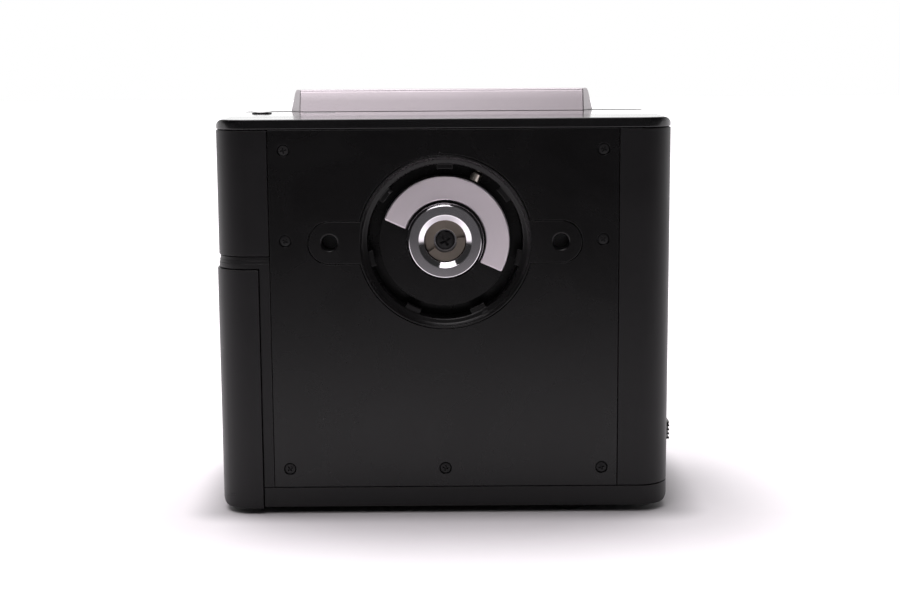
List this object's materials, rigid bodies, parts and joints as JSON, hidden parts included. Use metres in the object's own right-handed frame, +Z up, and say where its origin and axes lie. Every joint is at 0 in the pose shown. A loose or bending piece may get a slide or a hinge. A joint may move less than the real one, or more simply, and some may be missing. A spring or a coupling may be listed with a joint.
{
  "type": "bulk film loader",
  "caption": "Light-tight desk box that winds film from a bulk roll into a long-load cassette, with a rear drive socket, a hinged lid and a cassette door.",
  "frame": {"origin": "on the table, under the middle of the closed box", "axes": "+X right and +Z up as seen from the rear, +Y from the rear panel to the lid"},
  "size_m": [0.1994, 0.1008, 0.1812],
  "materials": {
    "frame_black": "moulded black plastic, fine grain, satin",
    "cover_black": "moulded black plastic with a fine spark-eroded grain",
    "panel_black": "smooth satin black, semi-gloss",
    "cap_black": "satin to gloss black plastic",
    "grip_silver": "satin silver-grey paint, fine lengthwise brushing",
    "inner_black": "dull anti-reflection black",
    "plate_metal": "milled aluminium plate",
    "screw_black": "blackened steel",
    "brass": "turned brass",
    "steel": "ground steel",
    "chrome_hub": "turned and chromed, bright",
    "satin_plate": "bead-blasted satin aluminium",
    "nickel": "nickel-plated, warm",
    "sleeve_metal": "sintered bronze, grey-brown",
    "gear_plastic": "natural acetal",
    "felt": "black velvet and felt",
    "brake_felt": "red felt",
    "foam": "black closed-cell foam",
    "rubber": "matt black rubber",
    "window": "clear acrylic",
    "dial_white": "white plastic with black numbers",
    "spring_steel": "spring wire",
    "hinge_black": "black-painted steel"
  },
  "bodies": {
    "body": {"chassis": "frame_black", "base_tray": "frame_black", "magazine_chamber": "inner_black", "bulkhead": "plate_metal", "top_cap": "cap_black", "rear_panel": "panel_black", "socket_ring": "panel_black", "left_cover": "cover_black", "right_cover": "cover_black", "panel_screws": "screw_black", "lug_inserts": "screw_black", "spindle_bush": "brass", "fork_bush": "brass", "sprocket_bush": "brass", "idler_post": "steel", "core_post": "steel", "brake_felt": "brake_felt", "counter_bracket": "plate_metal", "counter_shaft": "steel", "counter_window": "window", "button_well": "inner_black", "light_trap_velvet": "felt", "guide_pin": "steel", "feet": "rubber", "foot_screws": "steel", "lid_hinge_body": "hinge_black", "lid_hinge_pin": "steel", "door_hinge_pin": "steel", "door_catch_leaf": "spring_steel", "latch_guides": "plate_metal", "plunger_ring": "foam"},
    "drive": {"drive_hub": "chrome_hub", "dog_sleeve": "sleeve_metal", "hub_screw": "screw_black", "half_plate": "satin_plate", "drive_disc": "panel_black", "radial_pin": "nickel", "drive_spindle": "steel", "drive_gear": "gear_plastic"},
    "idler": {"idler_gear": "gear_plastic"},
    "fork": {"fork_gear": "gear_plastic", "winding_fork": "steel"},
    "core": {"core_holder": "inner_black", "core_nut": "nickel"},
    "sprocket_set": {"sprocket": "plate_metal", "counter_pinion": "brass"},
    "drum": {"counter_drum": "dial_white"},
    "guide": {"guide_roller": "plate_metal"},
    "lid_set": {"lid": "cover_black", "lid_grip": "grip_silver", "lid_seal": "foam", "lid_boss": "inner_black", "lid_hooks": "steel", "lid_hinge_leaf": "hinge_black"},
    "door": {"magazine_door": "cover_black", "magazine_pad": "foam"},
    "latch": {"lid_latch": "frame_black"},
    "button": {"reset_button": "cap_black", "button_spring": "spring_steel"},
    "plunger": {"spool_plunger": "nickel"}
  },
  "joints": [
    {"name": "drive_spin", "type": "hinge", "parent": "body", "child": "drive", "pos_m": [0.0005, 0, 0.1186], "axis": [0, 1, 0], "continuous": true},
    {"name": "idler_spin", "type": "hinge", "parent": "body", "child": "idler", "pos_m": [-0.02262, 0, 0.0754], "axis": [0, 1, 0], "continuous": true},
    {"name": "fork_spin", "type": "hinge", "parent": "body", "child": "fork", "pos_m": [-0.052, 0, 0.044], "axis": [0, 1, 0], "continuous": true},
    {"name": "core_spin", "type": "hinge", "parent": "body", "child": "core", "pos_m": [0.0005, 0, 0.1186], "axis": [0, 1, 0], "continuous": true},
    {"name": "sprocket_spin", "type": "hinge", "parent": "body", "child": "sprocket_set", "pos_m": [-0.0706, 0, 0.1464], "axis": [0, 1, 0], "continuous": true},
    {"name": "counter_spin", "type": "hinge", "parent": "body", "child": "drum", "pos_m": [-0.0579, 0, 0.1555], "axis": [0, 1, 0], "continuous": true},
    {"name": "guide_spin", "type": "hinge", "parent": "body", "child": "guide", "pos_m": [-0.0824, 0, 0.128], "axis": [0, 1, 0], "continuous": true},
    {"name": "lid_swing", "type": "hinge", "parent": "body", "child": "lid_set", "pos_m": [-0.0976, 0.0346, 0], "axis": [0, 0, 1], "range_deg": [0, 120]},
    {"name": "door_swing", "type": "hinge", "parent": "body", "child": "door", "pos_m": [-0.0976, 0.0262, 0], "axis": [0, 0, -1], "range_deg": [0, 95]},
    {"name": "latch_slide", "type": "slide", "parent": "body", "child": "latch", "axis": [0, 0, -1], "range_m": [0, 0.007]},
    {"name": "button_press", "type": "slide", "parent": "body", "child": "button", "axis": [0, 0, -1], "range_m": [0, 0.0008], "stiffness_N_per_m": 400, "springref_m": -0.001, "deforming": ["button_spring"]},
    {"name": "plunger_pull", "type": "slide", "parent": "body", "child": "plunger", "axis": [0, 1, 0], "range_m": [0, 0.005]}
  ],
  "couplings": [
    {"joint": "idler_spin", "follows": "drive_spin", "ratio": -0.81481},
    {"joint": "fork_spin", "follows": "drive_spin", "ratio": 1.375},
    {"joint": "counter_spin", "follows": "sprocket_spin", "ratio": -0.29167}
  ]
}
